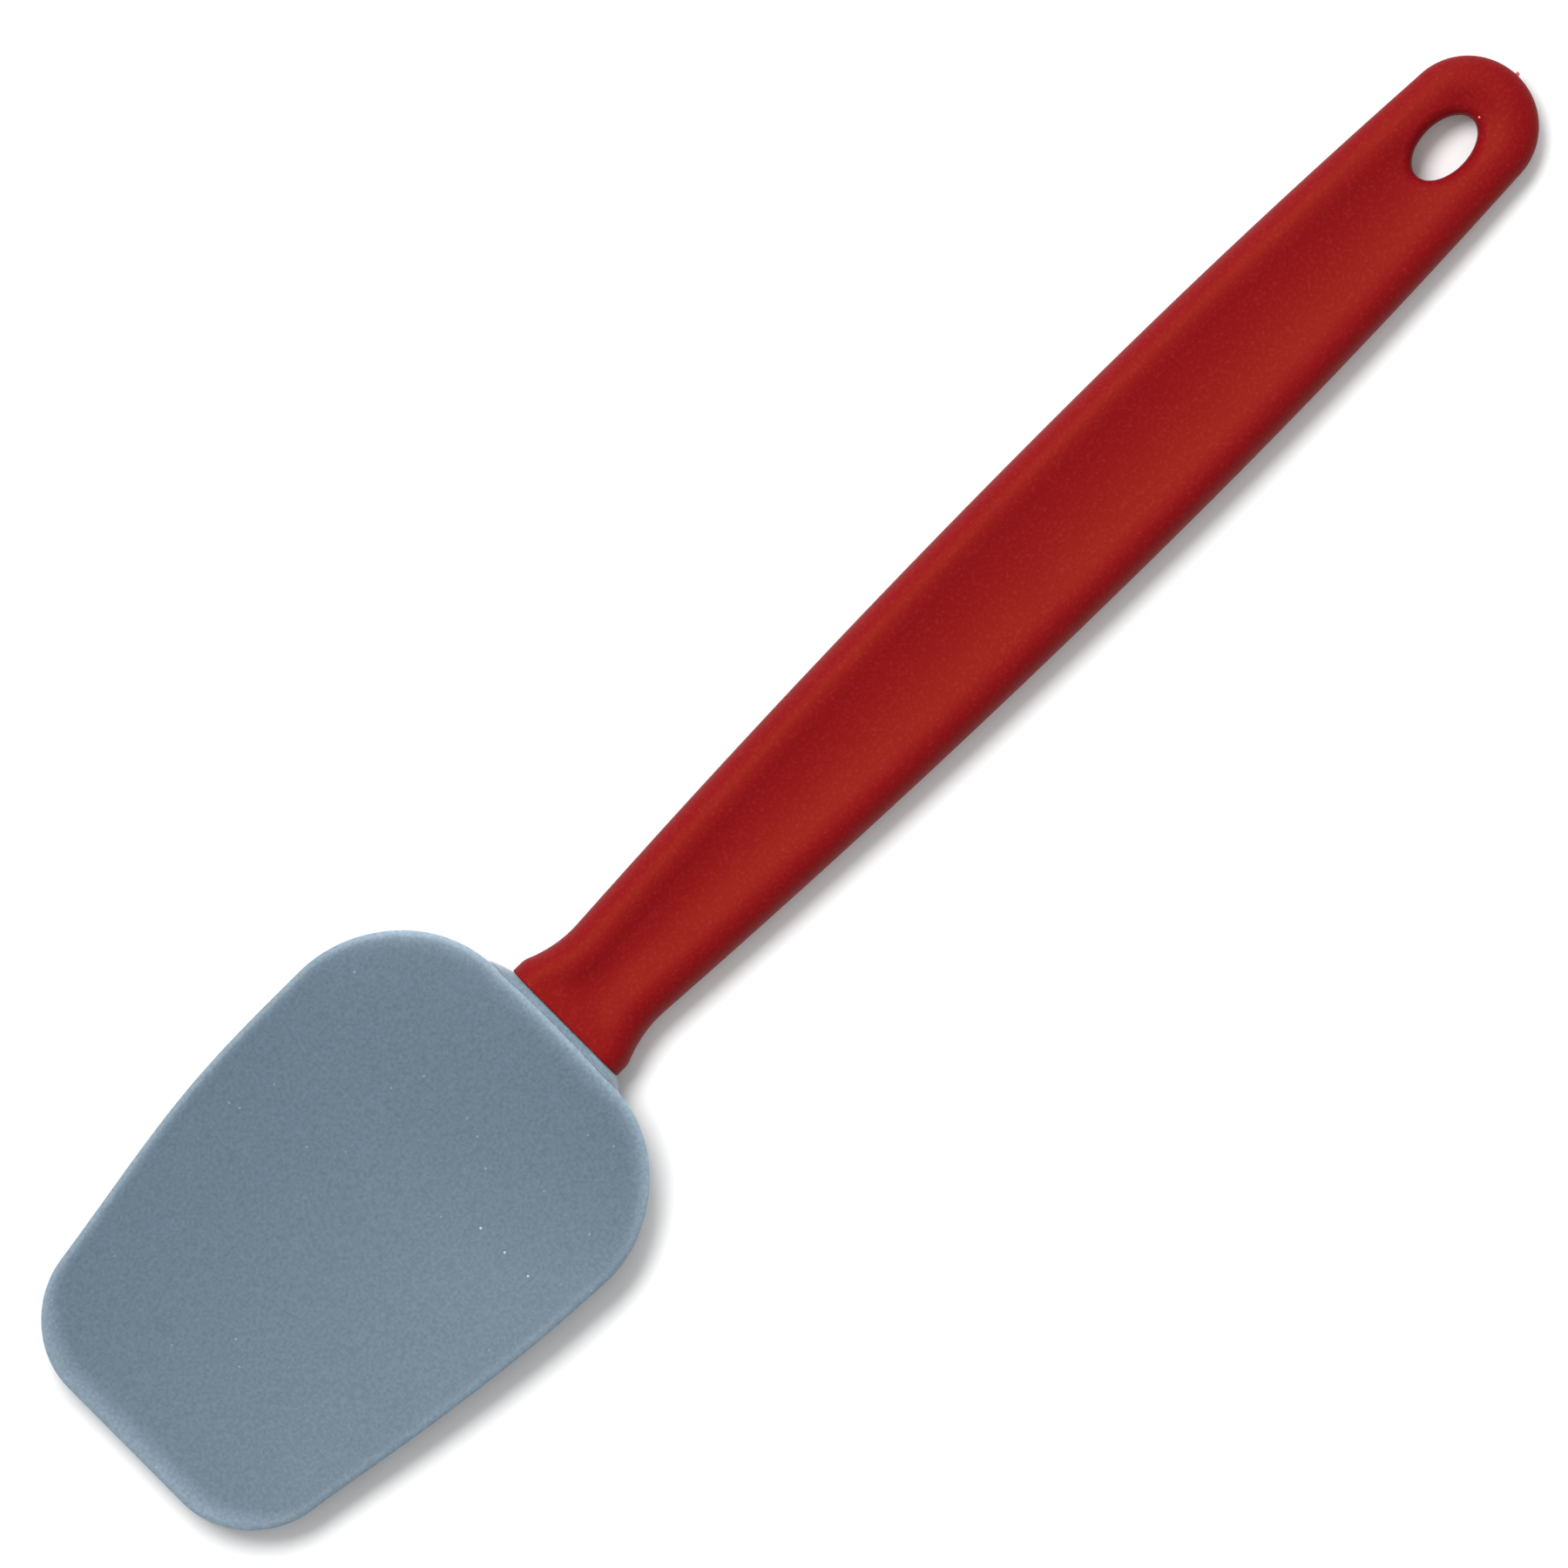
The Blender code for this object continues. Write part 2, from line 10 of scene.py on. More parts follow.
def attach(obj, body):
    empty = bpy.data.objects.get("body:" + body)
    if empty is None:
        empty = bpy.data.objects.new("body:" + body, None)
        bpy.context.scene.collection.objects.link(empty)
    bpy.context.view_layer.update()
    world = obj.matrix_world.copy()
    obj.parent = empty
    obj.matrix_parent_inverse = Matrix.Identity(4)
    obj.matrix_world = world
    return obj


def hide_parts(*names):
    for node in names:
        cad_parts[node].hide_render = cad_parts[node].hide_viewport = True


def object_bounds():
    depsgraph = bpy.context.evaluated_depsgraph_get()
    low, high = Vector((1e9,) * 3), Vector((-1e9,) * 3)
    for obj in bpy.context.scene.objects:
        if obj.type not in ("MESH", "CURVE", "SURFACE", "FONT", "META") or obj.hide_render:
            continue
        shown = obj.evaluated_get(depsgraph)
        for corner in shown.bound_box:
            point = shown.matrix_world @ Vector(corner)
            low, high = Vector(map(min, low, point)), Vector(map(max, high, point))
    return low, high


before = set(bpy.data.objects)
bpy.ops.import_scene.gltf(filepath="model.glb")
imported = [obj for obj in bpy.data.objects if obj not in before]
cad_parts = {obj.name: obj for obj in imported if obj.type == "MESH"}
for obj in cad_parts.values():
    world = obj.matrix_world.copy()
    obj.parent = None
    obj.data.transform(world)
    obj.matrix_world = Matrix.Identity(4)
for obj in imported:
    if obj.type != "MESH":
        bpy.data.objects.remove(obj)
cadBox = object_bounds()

tipX, endX = (round(corner[0], 6) for corner in cadBox)  # the frame's two ends, to a micrometre
collarX = -0.0508  # the face where the handle meets the silicone
print("spoon: frame loaded")


# Sums shared by the mouldings

def mix(first, second, share):
    return first + (second - first) * share


def ease(low, high, value):
    # 0 up to low, 1 from high, a smooth rise between
    t = min(max((value - low) / (high - low), 0.0), 1.0)
    return t * t * (3.0 - 2.0 * t)


def quarterRound(share):
    # height of a quarter circle at this share of the way in from its foot
    return math.sqrt(max(1.0 - (1.0 - min(max(share, 0.0), 1.0)) ** 2, 0.0))


def roundDrop(radius, inset):
    # how far a rounded edge has fallen away at this inset from its side
    return radius * (1.0 - quarterRound(inset / radius))


def evenSteps(start, end, count):
    return [mix(start, end, number / count) for number in range(count + 1)]


def arcSteps(start, end, count):
    # steps that crowd at the start, as a round needs
    return [mix(start, end, 1.0 - math.cos(math.pi / 2 * number / count)) for number in range(count + 1)]


# Mesh tools

def makeObject(name, bm):
    bmesh.ops.recalc_face_normals(bm, faces=bm.faces)
    mesh = bpy.data.meshes.new(name)
    bm.to_mesh(mesh)
    bm.free()
    made = bpy.data.objects.new(name, mesh)
    bpy.context.scene.collection.objects.link(made)
    return made


def carve(piece, toolMesh, operation):
    # joins a shape to a piece or cuts it out, then throws the tool away
    tool = makeObject("carvingTool", toolMesh)
    step = piece.modifiers.new("carve", "BOOLEAN")
    step.operation = operation
    step.solver = "EXACT"
    step.object = tool
    depsgraph = bpy.context.evaluated_depsgraph_get()
    carved = bpy.data.meshes.new_from_object(piece.evaluated_get(depsgraph))
    piece.modifiers.clear()
    uncarved, piece.data = piece.data, carved
    bpy.data.meshes.remove(uncarved)
    bpy.data.objects.remove(tool)


def drawOut(segments, stations, placePoint):
    # one ring of points drawn out station by station; placePoint gives each point its place
    bm = bmesh.new()
    turn = bm.verts.layers.float.new("turn")
    ring = bmesh.ops.create_circle(bm, cap_ends=False, segments=segments, radius=1.0)["verts"]
    for number, vert in enumerate(ring):
        vert[turn] = number / segments
    first = edges = list(bm.edges)
    for number, station in enumerate(stations):
        if number:
            drawn = bmesh.ops.extrude_edge_only(bm, edges=edges)["geom"]
            ring = [part for part in drawn if isinstance(part, bmesh.types.BMVert)]
            fresh = set(ring)
            edges = [part for part in drawn if isinstance(part, bmesh.types.BMEdge)
                     and part.verts[0] in fresh and part.verts[1] in fresh]
        for vert in ring:
            vert.co = placePoint(station, vert[turn])
    return bm, first, edges


def sectionPoint(turn, width, crest, land):
    # a point of a section, as (y, front or back), going from the front's middle round by +Y
    crestAt, sideAt, landAt = 0.34, 0.56, 0.86  # shares of the half ring used up at each mark
    side = 1.0 if turn <= 0.5 else -1.0
    t = 2.0 * turn if turn <= 0.5 else 2.0 * (1.0 - turn)
    if t < crestAt:
        return side * mix(0.0, crest, t / crestAt), True
    if t < sideAt:
        return side * mix(crest, width, math.sin((t - crestAt) / (sideAt - crestAt) * math.pi / 2)), True
    if t < landAt:
        return side * mix(land, width, math.cos((t - sideAt) / (landAt - sideAt) * math.pi / 2)), False
    return side * mix(land, 0.0, (t - landAt) / (1.0 - landAt)), False


def shrinkTowards(y, z, middle, amount):
    # pulls a section's point towards its middle, to round the edge of an end face
    reach = math.hypot(y, z - middle)
    share = max(1.0 - amount / reach, 0.0) if reach else 1.0
    return y * share, middle + (z - middle) * share


def pipMesh(places, size):
    # the tiny round marks that a mould's air vents leave: low domes, sunk by half
    bm = bmesh.new()
    for place in places:
        made = bmesh.ops.create_icosphere(bm, subdivisions=2, radius=size / 2)["verts"]
        bmesh.ops.scale(bm, verts=made, vec=(1.0, 1.0, 0.5))
        bmesh.ops.translate(bm, verts=made, vec=place)
    return bm


def markPips(piece, places, size):
    # tells the material which faces are pips, and the gate's stub past the frame's end at half strength
    reach = size * 0.52  # a dome's radius and a little more
    verts = piece.data.vertices
    marks = piece.data.attributes.new("pip", "FLOAT", "FACE")
    for face, mark in zip(piece.data.polygons, marks.data):
        corners = [verts[number].co for number in face.vertices]
        if any(all((corner - spot).length < reach for corner in corners) for spot in map(Vector, places)):
            mark.value = 1.0
        elif face.center.x > endX:
            mark.value = 0.5


def finishPiece(piece, material, body, node):
    sharpAngle = 38  # edges turned more than this stay crisp
    piece.data.materials.clear()
    piece.data.materials.append(material)
    piece.data.shade_smooth()
    piece.data.set_sharp_from_angle(angle=math.radians(sharpAngle))
    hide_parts(node)
    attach(piece, body)
    print(piece.name + ":", len(piece.data.polygons), "faces")


# Materials

def linear(hexColour):
    # sRGB hex to the linear values that the shader works in
    values = [int(hexColour[i:i + 2], 16) / 255 for i in (1, 3, 5)]
    return [v / 12.92 if v <= 0.04045 else ((v + 0.055) / 1.055) ** 2.4 for v in values] + [1.0]


def addNode(tree, kind, settings=None, links=None):
    node = tree.nodes.new(kind)
    for name, value in (settings or {}).items():
        if isinstance(name, int) or name in node.inputs:
            node.inputs[name].default_value = value
        else:
            setattr(node, name, value)
    for name, source in (links or {}).items():
        tree.links.new(source, node.inputs[name])
    return node


def newMaterial(name):
    material = bpy.data.materials.new(name)
    material.use_nodes = True
    tree = material.node_tree
    tree.nodes.clear()
    return material, tree


def makeSilicone():
    # Liquid silicone rubber moulded in a finely blasted steel tool: matt, dusty to the eye, with light that
    # soaks a little way in.
    # The thin edges are also painted paler than the middle: a painted glow at the tip and painted highlights
    # on the rims.
    look = {"colour": "#526370", "paler": "#566774", "thin": "#8699a6", "dustAndGlint": "#a9bac5",
            "roughness": 0.52, "ior": 1.41, "soak": 0.0016,
            "cloudSize": 0.022, "grainSize": 0.0005, "grain": 0.38, "grainDepth": 0.00004,
            "dustSpacing": 0.0035, "dustFull": 0.030, "dustEdge": 0.060, "dustStrength": 0.32}
    material, tree = newMaterial("silicone_blasted_mould")
    place = addNode(tree, "ShaderNodeTexCoord").outputs["Object"]
    cloud = addNode(tree, "ShaderNodeTexNoise",
                    {"Scale": 1 / look["cloudSize"], "Detail": 3.0, "Roughness": 0.5}, {"Vector": place})
    # the blasted grain is about 0.05 mm; drawn ten times coarser so that it shows in the picture
    grain = addNode(tree, "ShaderNodeTexNoise",
                    {"Scale": 1 / look["grainSize"], "Detail": 2.0, "Roughness": 0.6}, {"Vector": place})
    tone = addNode(tree, "ShaderNodeMix", {"data_type": "RGBA", 6: linear(look["colour"]),
                                           7: linear(look["paler"])}, {0: cloud.outputs["Fac"]})
    # painted light on the edges, from the mesh: a painted glow at the thin tip and painted highlights on the
    # rims, rear crest and shoulder
    thinness = addNode(tree, "ShaderNodeAttribute", {"attribute_name": "thinness"})
    edgeLit = addNode(tree, "ShaderNodeMix", {"data_type": "RGBA", 7: linear(look["thin"])},
                    {0: thinness.outputs["Fac"], 6: tone.outputs[2]})
    mottle = addNode(tree, "ShaderNodeMix", {"data_type": "RGBA", "blend_type": "OVERLAY", 0: look["grain"]},
                     {6: edgeLit.outputs[2], 7: grain.outputs["Fac"]})
    # flecks of dust up to 0.4 mm across, where a point of the pattern lies close under the skin
    fleck = addNode(tree, "ShaderNodeTexVoronoi", {"Scale": 1 / look["dustSpacing"], "Randomness": 1.0},
                    {"Vector": place})
    isFleck = addNode(tree, "ShaderNodeMapRange",
                      {"From Min": look["dustEdge"], "From Max": look["dustFull"], "To Min": 0.0,
                       "To Max": look["dustStrength"]}, {"Value": fleck.outputs["Distance"]})
    # the vent pips take the same pale colour at full strength: dust colour on the flecks, a painted glint on
    # each pip
    pip = addNode(tree, "ShaderNodeAttribute", {"attribute_name": "pip"})
    marked = addNode(tree, "ShaderNodeMath", {"operation": "MAXIMUM"},
                     {0: isFleck.outputs["Result"], 1: pip.outputs["Fac"]})
    skin = addNode(tree, "ShaderNodeMix", {"data_type": "RGBA", 7: linear(look["dustAndGlint"])},
                   {0: marked.outputs[0], 6: mottle.outputs[2]})
    rough = addNode(tree, "ShaderNodeMapRange", {"From Min": 0.3, "From Max": 0.7,
                                                 "To Min": look["roughness"] - 0.05,
                                                 "To Max": look["roughness"] + 0.06},
                    {"Value": cloud.outputs["Fac"]})
    bump = addNode(tree, "ShaderNodeBump", {"Strength": 0.6, "Distance": look["grainDepth"]},
                   {"Height": grain.outputs["Fac"]})
    shader = addNode(tree, "ShaderNodeBsdfPrincipled",
                     {"IOR": look["ior"], "Subsurface Weight": 0.6, "Subsurface Radius": (1.0, 1.0, 1.0),
                      "Subsurface Scale": look["soak"], "Sheen Weight": 0.30, "Sheen Roughness": 0.4},
                     {"Base Color": skin.outputs[2], "Roughness": rough.outputs["Result"],
                      "Normal": bump.outputs["Normal"]})
    addNode(tree, "ShaderNodeOutputMaterial", links={"Surface": shader.outputs["BSDF"]})
    return material


def makeRedNylon():
    # Polyamide moulded in a satin tool: a soft, broad gloss on every round edge and a faint mottle
    # where the melt cooled.
    look = {"colour": "#750712", "darker": "#6f0711", "speck": "#c85a50", "pip": "#c87a66",
            "roughness": 0.56, "ior": 1.53, "glossTint": "#ffb858", "gloss": 0.13,
            "cloudSize": 0.012, "grainSize": 0.0005, "grain": 0.08, "grainDepth": 0.00004,
            "speckFrom": 0.52, "speckFull": 0.80, "speckStrength": 0.07}
    material, tree = newMaterial("polyamide_satin_mould")
    place = addNode(tree, "ShaderNodeTexCoord").outputs["Object"]
    cloud = addNode(tree, "ShaderNodeTexNoise",
                    {"Scale": 1 / look["cloudSize"], "Detail": 4.0, "Roughness": 0.55}, {"Vector": place})
    # the satin grain is about 0.05 mm; drawn ten times coarser so that it shows in the picture
    grain = addNode(tree, "ShaderNodeTexNoise",
                    {"Scale": 1 / look["grainSize"], "Detail": 2.0, "Roughness": 0.6}, {"Vector": place})
    tone = addNode(tree, "ShaderNodeMix", {"data_type": "RGBA", 6: linear(look["colour"]),
                                           7: linear(look["darker"])}, {0: cloud.outputs["Fac"]})
    mottle = addNode(tree, "ShaderNodeMix", {"data_type": "RGBA", "blend_type": "OVERLAY", 0: look["grain"]},
                     {6: tone.outputs[2], 7: grain.outputs["Fac"]})
    # the tops of the grain are rubbed paler
    isTop = addNode(tree, "ShaderNodeMapRange",
                    {"From Min": look["speckFrom"], "From Max": look["speckFull"], "To Min": 0.0,
                     "To Max": look["speckStrength"]}, {"Value": grain.outputs["Fac"]})
    speckled = addNode(tree, "ShaderNodeMix", {"data_type": "RGBA", 7: linear(look["speck"])},
                       {0: isTop.outputs["Result"], 6: mottle.outputs[2]})
    rough = addNode(tree, "ShaderNodeMapRange", {"From Min": 0.3, "From Max": 0.7,
                                                 "To Min": look["roughness"] - 0.02,
                                                 "To Max": look["roughness"] + 0.02},
                    {"Value": cloud.outputs["Fac"]})
    bump = addNode(tree, "ShaderNodeBump", {"Strength": 0.6, "Distance": look["grainDepth"]},
                   {"Height": grain.outputs["Fac"]})
    pip = addNode(tree, "ShaderNodeAttribute", {"attribute_name": "pip"})
    skin = addNode(tree, "ShaderNodeMix", {"data_type": "RGBA", 7: linear(look["pip"])},
                   {0: pip.outputs["Fac"], 6: speckled.outputs[2]})
    shader = addNode(tree, "ShaderNodeBsdfPrincipled",
                     {"IOR": look["ior"], "Specular Tint": linear(look["glossTint"]),
                      "Specular IOR Level": look["gloss"]},
                     {"Base Color": skin.outputs[2], "Roughness": rough.outputs["Result"],
                      "Normal": bump.outputs["Normal"]})
    addNode(tree, "ShaderNodeOutputMaterial", links={"Surface": shader.outputs["BSDF"]})
    return material


def makeCoreNylon():
    # Glass-filled polyamide, moulded: near black, with pale fibre streaks along the flow. The fibres are
    # about 0.01 mm thick; drawn forty times coarser so that they show.
    look = {"colour": "#2b2c2e", "fibre": "#3d3f42", "roughness": 0.5, "ior": 1.53,
            "fibreSize": 0.0004, "fibreDepth": 0.00003}
    material, tree = newMaterial("glass_filled_polyamide_moulded")
    place = addNode(tree, "ShaderNodeTexCoord").outputs["Object"]
    drawnOut = addNode(tree, "ShaderNodeMapping", {"Scale": (0.12, 1.0, 1.0)}, {"Vector": place})
    fibre = addNode(tree, "ShaderNodeTexNoise", {"Scale": 1 / look["fibreSize"], "Detail": 3.0},
                    {"Vector": drawnOut.outputs["Vector"]})
    tone = addNode(tree, "ShaderNodeMix", {"data_type": "RGBA", 6: linear(look["colour"]),
                                           7: linear(look["fibre"])}, {0: fibre.outputs["Fac"]})
    rough = addNode(tree, "ShaderNodeMapRange", {"To Min": look["roughness"] - 0.08,
                                                 "To Max": look["roughness"] + 0.10},
                    {"Value": fibre.outputs["Fac"]})
    bump = addNode(tree, "ShaderNodeBump", {"Strength": 0.4, "Distance": look["fibreDepth"]},
                   {"Height": fibre.outputs["Fac"]})
    shader = addNode(tree, "ShaderNodeBsdfPrincipled", {"IOR": look["ior"]},
                     {"Base Color": tone.outputs[2], "Roughness": rough.outputs["Result"],
                      "Normal": bump.outputs["Normal"]})
    addNode(tree, "ShaderNodeOutputMaterial", links={"Surface": shader.outputs["BSDF"]})
    return material


def makeTablePaper():
    # Matt white paper sweep: nearly even, with the faintest cloudiness
    look = {"colour": "#e4e4e4", "darker": "#e2e2e2", "roughness": 0.9, "cloudSize": 0.05}
    material, tree = newMaterial("paper_matt_white")
    place = addNode(tree, "ShaderNodeTexCoord").outputs["Object"]
    cloud = addNode(tree, "ShaderNodeTexNoise", {"Scale": 1 / look["cloudSize"], "Detail": 2.0},
                    {"Vector": place})
    tone = addNode(tree, "ShaderNodeMix", {"data_type": "RGBA", 6: linear(look["colour"]),
                                           7: linear(look["darker"])}, {0: cloud.outputs["Fac"]})
    shader = addNode(tree, "ShaderNodeBsdfPrincipled", {"Roughness": look["roughness"],
                                                        "Specular IOR Level": 0.1},
                     {"Base Color": tone.outputs[2]})
    addNode(tree, "ShaderNodeOutputMaterial", links={"Surface": shader.outputs["BSDF"]})
    return material


# Core: its node keeps its shape and gets a finish, and the two mouldings are cut out round it

core = {
    "height": 0.0022, "thickness": 0.0018, "gap": 0.0003,
    "tongueLength": 0.0560, "rootWidth": 0.0124, "tipWidth": 0.0100, "tipCut": 0.0028,
    "tipSegments": 8, "tangLength": 0.0620, "tangWidth": 0.0108,
    "overcut": 0.001,  # how far each slot runs out past the moulding's face
}


def tongueSlotMesh():
    # the core's tongue from above, grown by its clearance, raised into a block
    bm = bmesh.new()
    tip, root = -2 * core["gap"] - core["tongueLength"], core["overcut"]
    for vert in bmesh.ops.create_grid(bm, x_segments=1, y_segments=1, size=0.5)["verts"]:
        atTip = vert.co.x < 0
        width = core["tipWidth"] if atTip else core["rootWidth"]
        vert.co = (tip if atTip else root, math.copysign(width / 2 + core["gap"], vert.co.y), 0.0)
    corners = [vert for vert in bm.verts if vert.co.x < tip + 1e-6]
    bmesh.ops.bevel(bm, geom=corners, offset=core["tipCut"], offset_type="OFFSET",
                    affect="VERTICES", segments=core["tipSegments"], profile=0.5, material=-1)
    low = core["height"] - core["thickness"] / 2 - core["gap"]
    bmesh.ops.translate(bm, verts=bm.verts, vec=(collarX, 0, low))
    raised = bmesh.ops.extrude_face_region(bm, geom=list(bm.faces))["geom"]
    bmesh.ops.translate(bm, verts=[part for part in raised if isinstance(part, bmesh.types.BMVert)],
                        vec=(0, 0, core["thickness"] + 2 * core["gap"]))
    return bm


def tangSlotMesh():
    # the block of room that the core's tang has inside the handle
    bm = bmesh.new()
    bmesh.ops.create_cube(bm, size=1.0)
    length = core["tangLength"] + core["gap"] + core["overcut"]
    bmesh.ops.scale(bm, verts=bm.verts, vec=(length, core["tangWidth"] + 2 * core["gap"],
                                             core["thickness"] + 2 * core["gap"]))
    bmesh.ops.translate(bm, verts=bm.verts,
                        vec=(collarX - core["overcut"] + length / 2, 0, core["height"]))
    return bm


def finishCore():
    material = makeCoreNylon()
    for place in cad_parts["core_blade"].material_slots:
        place.material = material
    print("core: finish given")


# Red handle: x runs from its collar, z from the table

handle = {
    # outline from above
    "length": round(endX - collarX, 6), "collarWidth": 0.0204, "collarLength": 0.0022,
    "cornerBlend": 0.0005, "neckWidth": 0.0171, "neckAt": 0.0108, "gripWidth": 0.0234, "gripAt": 0.1108,
    "endRadius": 0.0098,
    # heights along it
    "collarTop": 0.0078, "neckTop": 0.0080, "gripTop": 0.0084, "endTop": 0.0057, "collarBase": 0.0004,
    "endBase": 0.0008, "flatFrom": 0.0250, "flatTo": 0.1450,
    # rim, trough, the flat land on the back, and where the close stations end
    "rimInset": 0.0038, "troughDepth": 0.0010, "troughLip": 0.0018, "troughStart": 0.0012,
    "troughFull": 0.0070, "landWidth": 0.0110, "faceRound": 0.00018, "fineTo": 0.016,
    # hanging hole, and how far its cutter reaches past each face
    "holeLength": 0.0111, "holeWidth": 0.0067, "holeFromEnd": 0.0142, "holeAside": 0.0002,
    "holeRound": 0.0016, "brimRise": 0.00005, "brimSlant": 12, "frontMargin": 0.0030,
    "backMargin": 0.0022, "holeOvercut": 0.0010,
    # the moulding's marks
    "gateSize": 0.0007, "gateLength": 0.0004, "gateTaper": 0.64, "gateTear": 0.25, "gateAside": 0.0003,
    "gateSides": 10, "pip": (0.1779, -0.0002), "pipSize": 0.00036,
    # fineness of the mesh: points round a section and the hole, then the stations of each stretch
    "sectionPoints": 128, "holePoints": 96, "roundSteps": 4, "fineSteps": 52, "longSteps": 110,
    "endSteps": 56, "holeRoundSteps": 8,
}
endCentre = handle["length"] - handle["endRadius"]  # the middle of the round end


def smoothHalfWidth(x):
    # narrowest at the neck and widest at the grip, before the collar flares it out
    if x < handle["gripAt"]:
        share = (handle["gripAt"] - x) / (handle["gripAt"] - handle["neckAt"])
        return mix(handle["gripWidth"], handle["neckWidth"], share ** 2) / 2
    share = (x - handle["gripAt"]) / (endCentre - handle["gripAt"])
    return mix(handle["gripWidth"], 2 * handle["endRadius"], min(share, 1.0) ** 2) / 2


def flaredHalfWidth(x):
    # a straight collar, then a quick fall to the neck
    if x <= handle["collarLength"]:
        return handle["collarWidth"] / 2
    flare = handle["collarWidth"] / 2 - smoothHalfWidth(handle["collarLength"])
    share = (x - handle["collarLength"]) / (handle["neckAt"] - handle["collarLength"])
    return smoothHalfWidth(x) + flare * max(1.0 - share, 0.0) ** 2


def handleHalfWidth(x):
    # a short blend rounds the corner behind the collar
    return sum(flaredHalfWidth(x + share * handle["cornerBlend"]) for share in (-1, -0.5, 0, 0.5, 1)) / 5


def handleInset(x, y):
    # how far inside the handle's outline this place is
    if x > endCentre:
        return max(handle["endRadius"] - math.hypot(x - endCentre, y), 0.0)
    return handleHalfWidth(x) - abs(y)


def smoothTop(x):
    # the crest's height without the collar, highest at the grip
    if x < handle["gripAt"]:
        share = (handle["gripAt"] - x) / (handle["gripAt"] - handle["neckAt"])
        return mix(handle["gripTop"], handle["neckTop"], share ** 2)
    share = (x - handle["gripAt"]) / (handle["length"] - handle["gripAt"])
    return mix(handle["gripTop"], handle["endTop"], share ** 2)


def handleTop(x):
    # the same with its dip at the collar
    dip = handle["collarTop"] - smoothTop(0.0)
    return smoothTop(x) + dip * (1.0 - ease(0.0, handle["neckAt"], x))


def handleBase(x):
    # flat on the table but for its two ends
    front = handle["collarBase"] * max(1.0 - x / handle["flatFrom"], 0.0) ** 2
    share = max(x - handle["flatTo"], 0.0) / (handle["length"] - handle["flatTo"])
    return front + handle["endBase"] * share ** 2


def handleFront(x, y):
    # a rounded rim, then the trough: a shallow bowl that turns up in a lip inside the rim
    edge = handleInset(x, y)
    parting = (handleTop(x) + handleBase(x)) / 2
    z = mix(parting, handleTop(x), quarterRound(edge / handle["rimInset"]))
    reach = handleHalfWidth(min(x, endCentre)) - handle["rimInset"]
    across = 1.0 - (edge - handle["rimInset"]) / reach
    if across >= 1.0:
        return z
    depth = handle["troughDepth"] * ease(handle["troughStart"], handle["troughFull"], x)
    steepest = 1.0 - handle["troughLip"] / reach
    if across < steepest:
        return z - depth * (1.0 - across ** 2 / steepest)
    return z - depth * (1.0 - across) ** 2 / (1.0 - steepest)


def handleBack(x, y):
    # one broad round from the parting line in to the flat land
    parting = (handleTop(x) + handleBase(x)) / 2
    reach = handleHalfWidth(min(x, endCentre)) - handle["landWidth"] / 2
    return mix(parting, handleBase(x), quarterRound(handleInset(x, y) / reach))


def handleMesh():
    # the section drawn along from the collar, then its +Y half spun round the end
    rounding = handle["faceRound"]
    stations = [(inset, roundDrop(rounding, inset))
                for inset in arcSteps(0.0, rounding, handle["roundSteps"])]
    stations += [(x, 0.0) for x in evenSteps(rounding, handle["fineTo"], handle["fineSteps"])[1:]]
    stations += [(x, 0.0) for x in evenSteps(handle["fineTo"], endCentre, handle["longSteps"])[1:]]

    def place(station, turn):
        x, shrink = station
        width = handleHalfWidth(x)
        y, isFront = sectionPoint(turn, width, max(width - handle["rimInset"], width / 2),
                                  handle["landWidth"] / 2)
        z = handleFront(x, y) if isFront else handleBack(x, y)
        y, z = shrinkTowards(y, z, (handleTop(x) + handleBase(x)) / 2, shrink)
        return Vector((x, y, z))

    bm, collarEdges, endEdges = drawOut(handle["sectionPoints"], stations, place)
    turn = bm.verts.layers.float["turn"]
    bmesh.ops.holes_fill(bm, edges=collarEdges)
    half = [edge for edge in endEdges if all(vert[turn] <= 0.5 for vert in edge.verts)]
    verts = dict.fromkeys(vert for edge in half for vert in edge.verts)  # each once, in a fixed order
    bmesh.ops.spin(bm, geom=[*verts, *half], cent=(endCentre, 0, 0), axis=(0, 0, 1), angle=-math.pi,
                   steps=handle["endSteps"], use_duplicate=False)
    bmesh.ops.remove_doubles(bm, verts=bm.verts, dist=0.000002)
    for vert in bm.verts:
        if vert.co.x > endCentre + 1e-5:
            _, isFront = sectionPoint(min(vert[turn], 1.0 - vert[turn]), 1.0, 0.5, 0.5)
            surface = handleFront if isFront else handleBack
            vert.co.z = surface(vert.co.x, vert.co.y)
    bmesh.ops.translate(bm, verts=bm.verts, vec=(collarX, 0, 0))
    return bm


def holeMesh():
    # an elliptical post whose ends flare to the handle's two faces, so that the hole's rims are round
    centre = handle["length"] - handle["holeFromEnd"]
    rounding, rise, out = handle["holeRound"], handle["brimRise"], handle["holeOvercut"]
    # the post crosses each face at a slant, because a grazing cut leaves teeth
    brim = roundDrop(rounding, rise) + 2 * rise / math.tan(math.radians(handle["brimSlant"]))
    insets = evenSteps(rise, rounding, handle["holeRoundSteps"])
    profile = [(handle["frontMargin"], out, True), (brim, rise, True)]
    profile += [(roundDrop(rounding, inset), -inset, True) for inset in insets]
    profile += [(roundDrop(rounding, inset), inset, False) for inset in reversed(insets)]
    profile += [(brim, -rise, False), (handle["backMargin"], -out, False)]

    def place(station, turn):
        grow, lift, isFront = station
        angle = 2 * math.pi * turn
        x = centre + (handle["holeLength"] / 2 + grow) * math.cos(angle)
        y = handle["holeAside"] + (handle["holeWidth"] / 2 + grow) * math.sin(angle)
        z = (handleFront(x, y) if isFront else handleBack(x, y)) + lift
        return Vector((collarX + x, y, z))

    bm, topEdges, baseEdges = drawOut(handle["holePoints"], profile, place)
    bmesh.ops.holes_fill(bm, edges=topEdges + baseEdges)
    return bm


